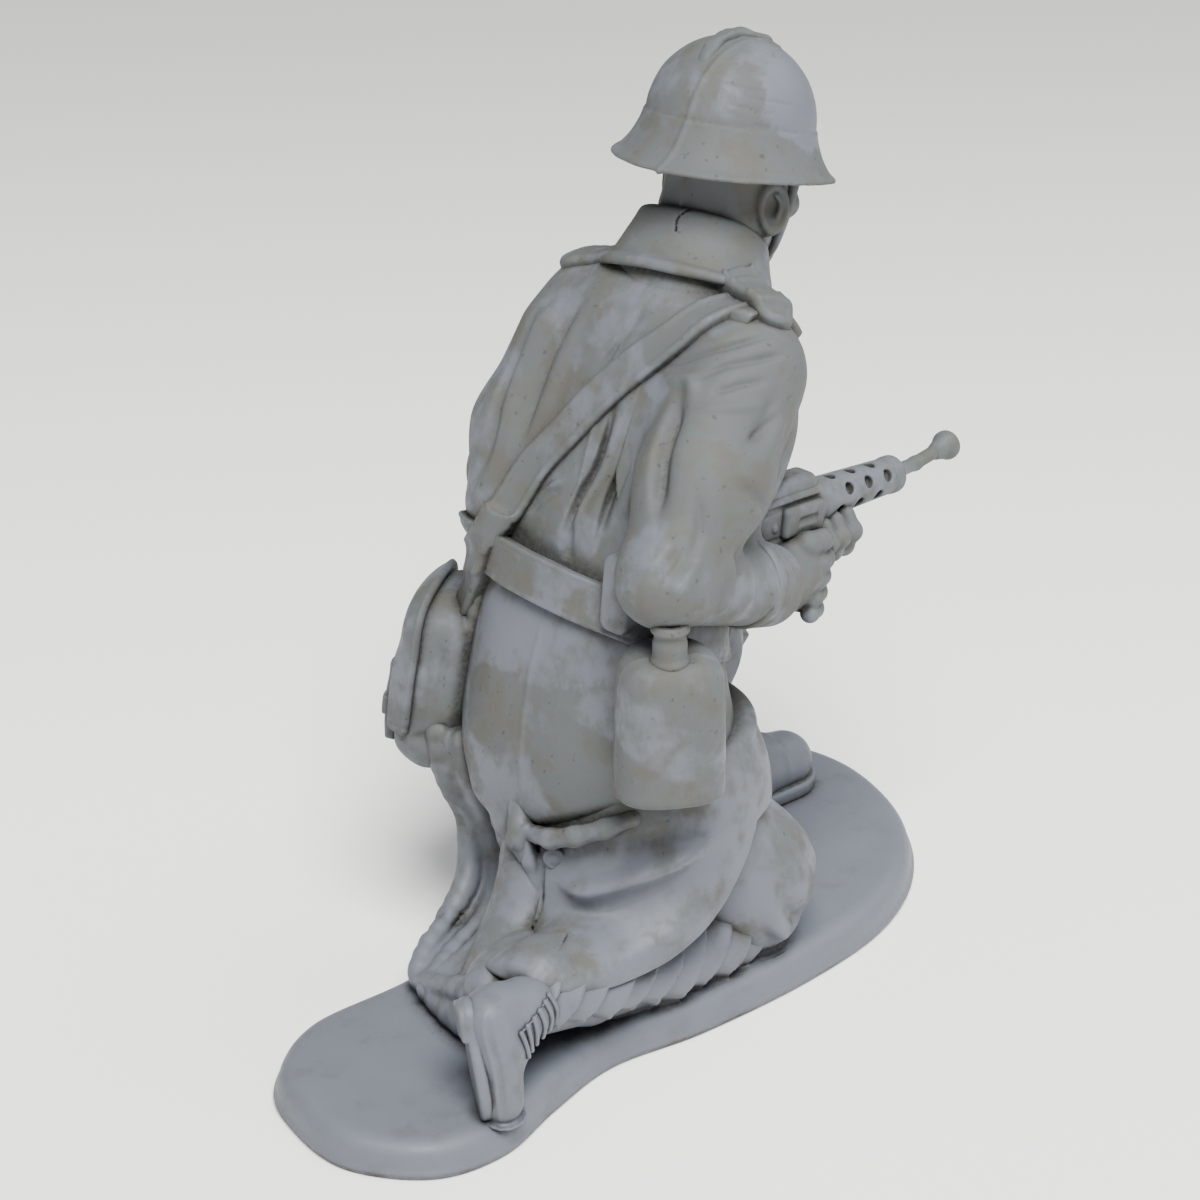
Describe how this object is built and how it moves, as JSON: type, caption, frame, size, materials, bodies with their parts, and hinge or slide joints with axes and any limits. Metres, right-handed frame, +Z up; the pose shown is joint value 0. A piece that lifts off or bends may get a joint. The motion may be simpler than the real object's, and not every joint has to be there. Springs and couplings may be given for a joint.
{
  "type": "toy soldier figure",
  "caption": "Kneeling toy soldier in a greatcoat and brimmed helmet holding a light automatic gun, moulded in plastic on a flat peanut-shaped base.",
  "frame": {"origin": "on the underside of the base, below the figure's hips", "axes": "+X the way the figure faces, along the base; +Y to the figure's left; +Z up"},
  "size_m": [0.0389, 0.0199, 0.0422],
  "materials": {
    "gun_plastic": "satin soft plastic, one blue-grey colour, with faint tan dirt in the recesses",
    "skin_plastic": "satin soft plastic, one blue-grey colour, with faint tan dirt in the recesses",
    "base_plastic": "satin soft plastic, one blue-grey colour, with faint tan dirt in the recesses",
    "helmet_plastic": "satin soft plastic, one blue-grey colour, with faint tan dirt in the recesses",
    "equipment_plastic": "satin soft plastic, one blue-grey colour, with faint tan dirt in the recesses",
    "leg_plastic": "satin soft plastic, one blue-grey colour, with faint tan dirt in the recesses",
    "coat_plastic": "satin soft plastic, one blue-grey colour, with faint tan dirt in the recesses"
  },
  "bodies": {
    "root": {"base": "base_plastic", "right_boot_sole": "leg_plastic", "left_boot_sole": "leg_plastic", "right_boot": "leg_plastic", "left_boot": "leg_plastic", "right_boot_laces": "leg_plastic", "right_puttee": "leg_plastic", "left_puttee": "leg_plastic", "right_breeches": "coat_plastic", "left_breeches": "coat_plastic", "head": "skin_plastic", "coat_trunk": "coat_plastic", "coat_seat": "coat_plastic", "coat_tuck": "coat_plastic", "coat_skirt_right": "coat_plastic", "coat_skirt_left": "coat_plastic", "coat_skirt_front": "coat_plastic", "coat_button": "coat_plastic", "gun_receiver": "gun_plastic", "gun_top_cover": "gun_plastic", "gun_side_plate": "gun_plastic", "gun_stock": "gun_plastic", "gun_grip": "gun_plastic", "gun_magazine": "gun_plastic", "gun_barrel_shroud": "gun_plastic", "gun_barrel": "gun_plastic", "gun_muzzle": "gun_plastic", "right_hand": "skin_plastic", "left_hand": "skin_plastic", "right_cuff": "coat_plastic", "left_cuff": "coat_plastic", "right_sleeve": "coat_plastic", "left_sleeve": "coat_plastic", "coat_collar": "coat_plastic", "right_shoulder_strap": "coat_plastic", "left_shoulder_strap": "coat_plastic", "waist_belt": "equipment_plastic", "belt_buckle": "equipment_plastic", "haversack": "equipment_plastic", "haversack_flap": "equipment_plastic", "haversack_buckles": "equipment_plastic", "haversack_strap": "equipment_plastic", "chest_strap": "equipment_plastic", "cartridge_pouches": "equipment_plastic", "canteen": "equipment_plastic", "canteen_neck": "equipment_plastic", "helmet": "helmet_plastic", "helmet_crest": "helmet_plastic", "chin_strap": "helmet_plastic"}
  },
  "joints": []
}
